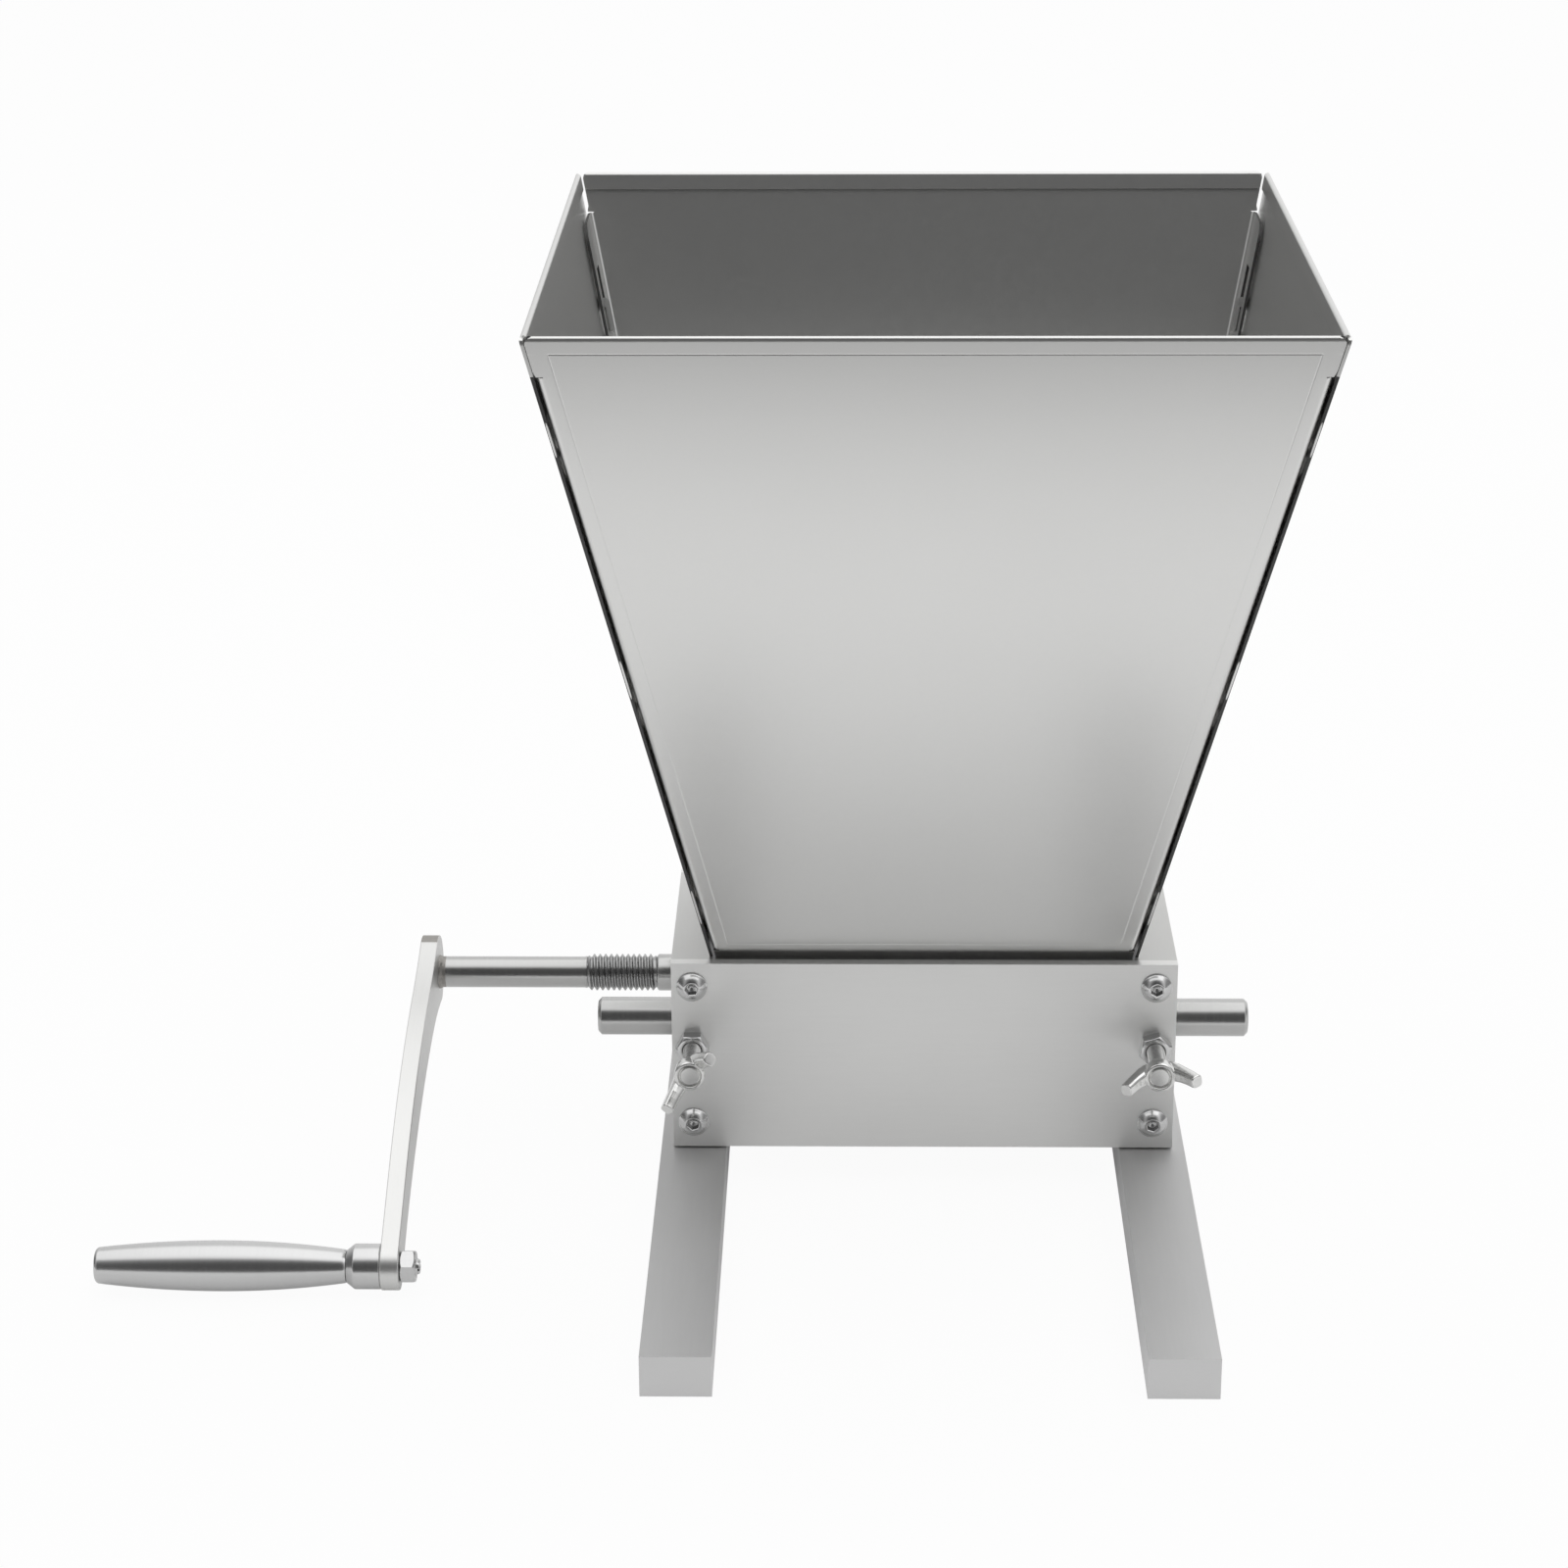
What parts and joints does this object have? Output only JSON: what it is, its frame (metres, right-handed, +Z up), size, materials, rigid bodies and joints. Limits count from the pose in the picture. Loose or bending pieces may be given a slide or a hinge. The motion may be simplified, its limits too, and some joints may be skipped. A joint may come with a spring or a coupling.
{
  "type": "malt mill",
  "caption": "Hand cranked roller mill for malt: a folded sheet metal hopper over a steel roller body on bar legs, with a side crank and wing bolts that set the roller gap.",
  "frame": {"origin": "middle of the mill's box, on the surface that the legs stand on", "axes": "+X along the rollers, away from the crank; +Y from the wing bolts at the front to the rear; +Z up"},
  "size_m": [0.3938, 0.372, 0.3192],
  "materials": {
    "plate": "bead blasted stainless steel plate",
    "leg_bar": "drawn stainless steel bar",
    "sheet": "satin stainless steel sheet",
    "fastener": "bright machined stainless steel",
    "roller_steel": "hardened knurled steel",
    "shaft_steel": "turned steel",
    "crank_steel": "satin stainless steel bar",
    "grip_steel": "turned and satin finished steel",
    "block_steel": "milled steel",
    "bush": "sintered bronze"
  },
  "bodies": {
    "frame": {"side_plate_left": "plate", "side_plate_right": "plate", "front_plate": "plate", "rear_plate": "plate", "leg_left": "leg_bar", "leg_right": "leg_bar", "front_plate_screws": "fastener", "rear_plate_screws": "fastener", "leg_screws": "fastener", "drive_bush_left": "bush", "drive_bush_right": "bush"},
    "hopper": {"hopper_front_panel": "sheet", "hopper_rear_panel": "sheet", "hopper_left_panel": "sheet", "hopper_right_panel": "sheet"},
    "drive": {"drive_roller": "roller_steel", "drive_shaft": "shaft_steel", "drive_washers": "bush", "crank_arm": "crank_steel", "grip_collar": "shaft_steel", "grip_bolt": "fastener", "grip_nut": "fastener"},
    "grip": {"crank_grip": "grip_steel"},
    "carriage": {"bearing_block_left": "block_steel", "bearing_block_right": "block_steel", "idler_bush_left": "bush", "idler_bush_right": "bush"},
    "idler": {"idler_roller": "roller_steel", "idler_axle": "shaft_steel", "idler_washers": "bush"},
    "wing_left": {"wing_bolt_left": "fastener"},
    "wing_right": {"wing_bolt_right": "fastener"},
    "nut_left": {"lock_nut_left": "fastener"},
    "nut_right": {"lock_nut_right": "fastener"}
  },
  "joints": [
    {"name": "hopper_lift", "type": "slide", "parent": "frame", "child": "hopper", "axis": [0, 0, 1], "range_m": [0, 0.12]},
    {"name": "crank_turn", "type": "hinge", "parent": "frame", "child": "drive", "pos_m": [0.07365, 0.0186, 0.0528], "axis": [1, 0, 0], "continuous": true},
    {"name": "grip_spin", "type": "hinge", "parent": "drive", "child": "grip", "pos_m": [-0.15635, -0.11967, 0.00915], "axis": [1, 0, 0], "continuous": true},
    {"name": "gap_slide", "type": "slide", "parent": "frame", "child": "carriage", "axis": [0, 1, 0], "range_m": [-0.0012, 0.0009]},
    {"name": "idler_turn", "type": "hinge", "parent": "carriage", "child": "idler", "pos_m": [0.07365, -0.0186, 0.0528], "axis": [1, 0, 0], "continuous": true},
    {"name": "wing_left_turn", "type": "hinge", "parent": "carriage", "child": "wing_left", "pos_m": [-0.00485, -0.05, 0.0528], "axis": [0, 1, 0], "range_deg": [-433, 325]},
    {"name": "wing_right_turn", "type": "hinge", "parent": "carriage", "child": "wing_right", "pos_m": [0.15215, -0.05, 0.0528], "axis": [0, 1, 0], "range_deg": [-433, 325]},
    {"name": "nut_left_turn", "type": "hinge", "parent": "frame", "child": "nut_left", "pos_m": [-0.00485, -0.045, 0.0528], "axis": [0, 1, 0], "range_deg": [-360, 0]},
    {"name": "nut_right_turn", "type": "hinge", "parent": "frame", "child": "nut_right", "pos_m": [0.15215, -0.045, 0.0528], "axis": [0, 1, 0], "range_deg": [-360, 0]}
  ],
  "couplings": [
    {"joint": "wing_left_turn", "follows": "gap_slide", "rad_per_m": 6283.2},
    {"joint": "wing_right_turn", "follows": "gap_slide", "rad_per_m": 6283.2}
  ]
}
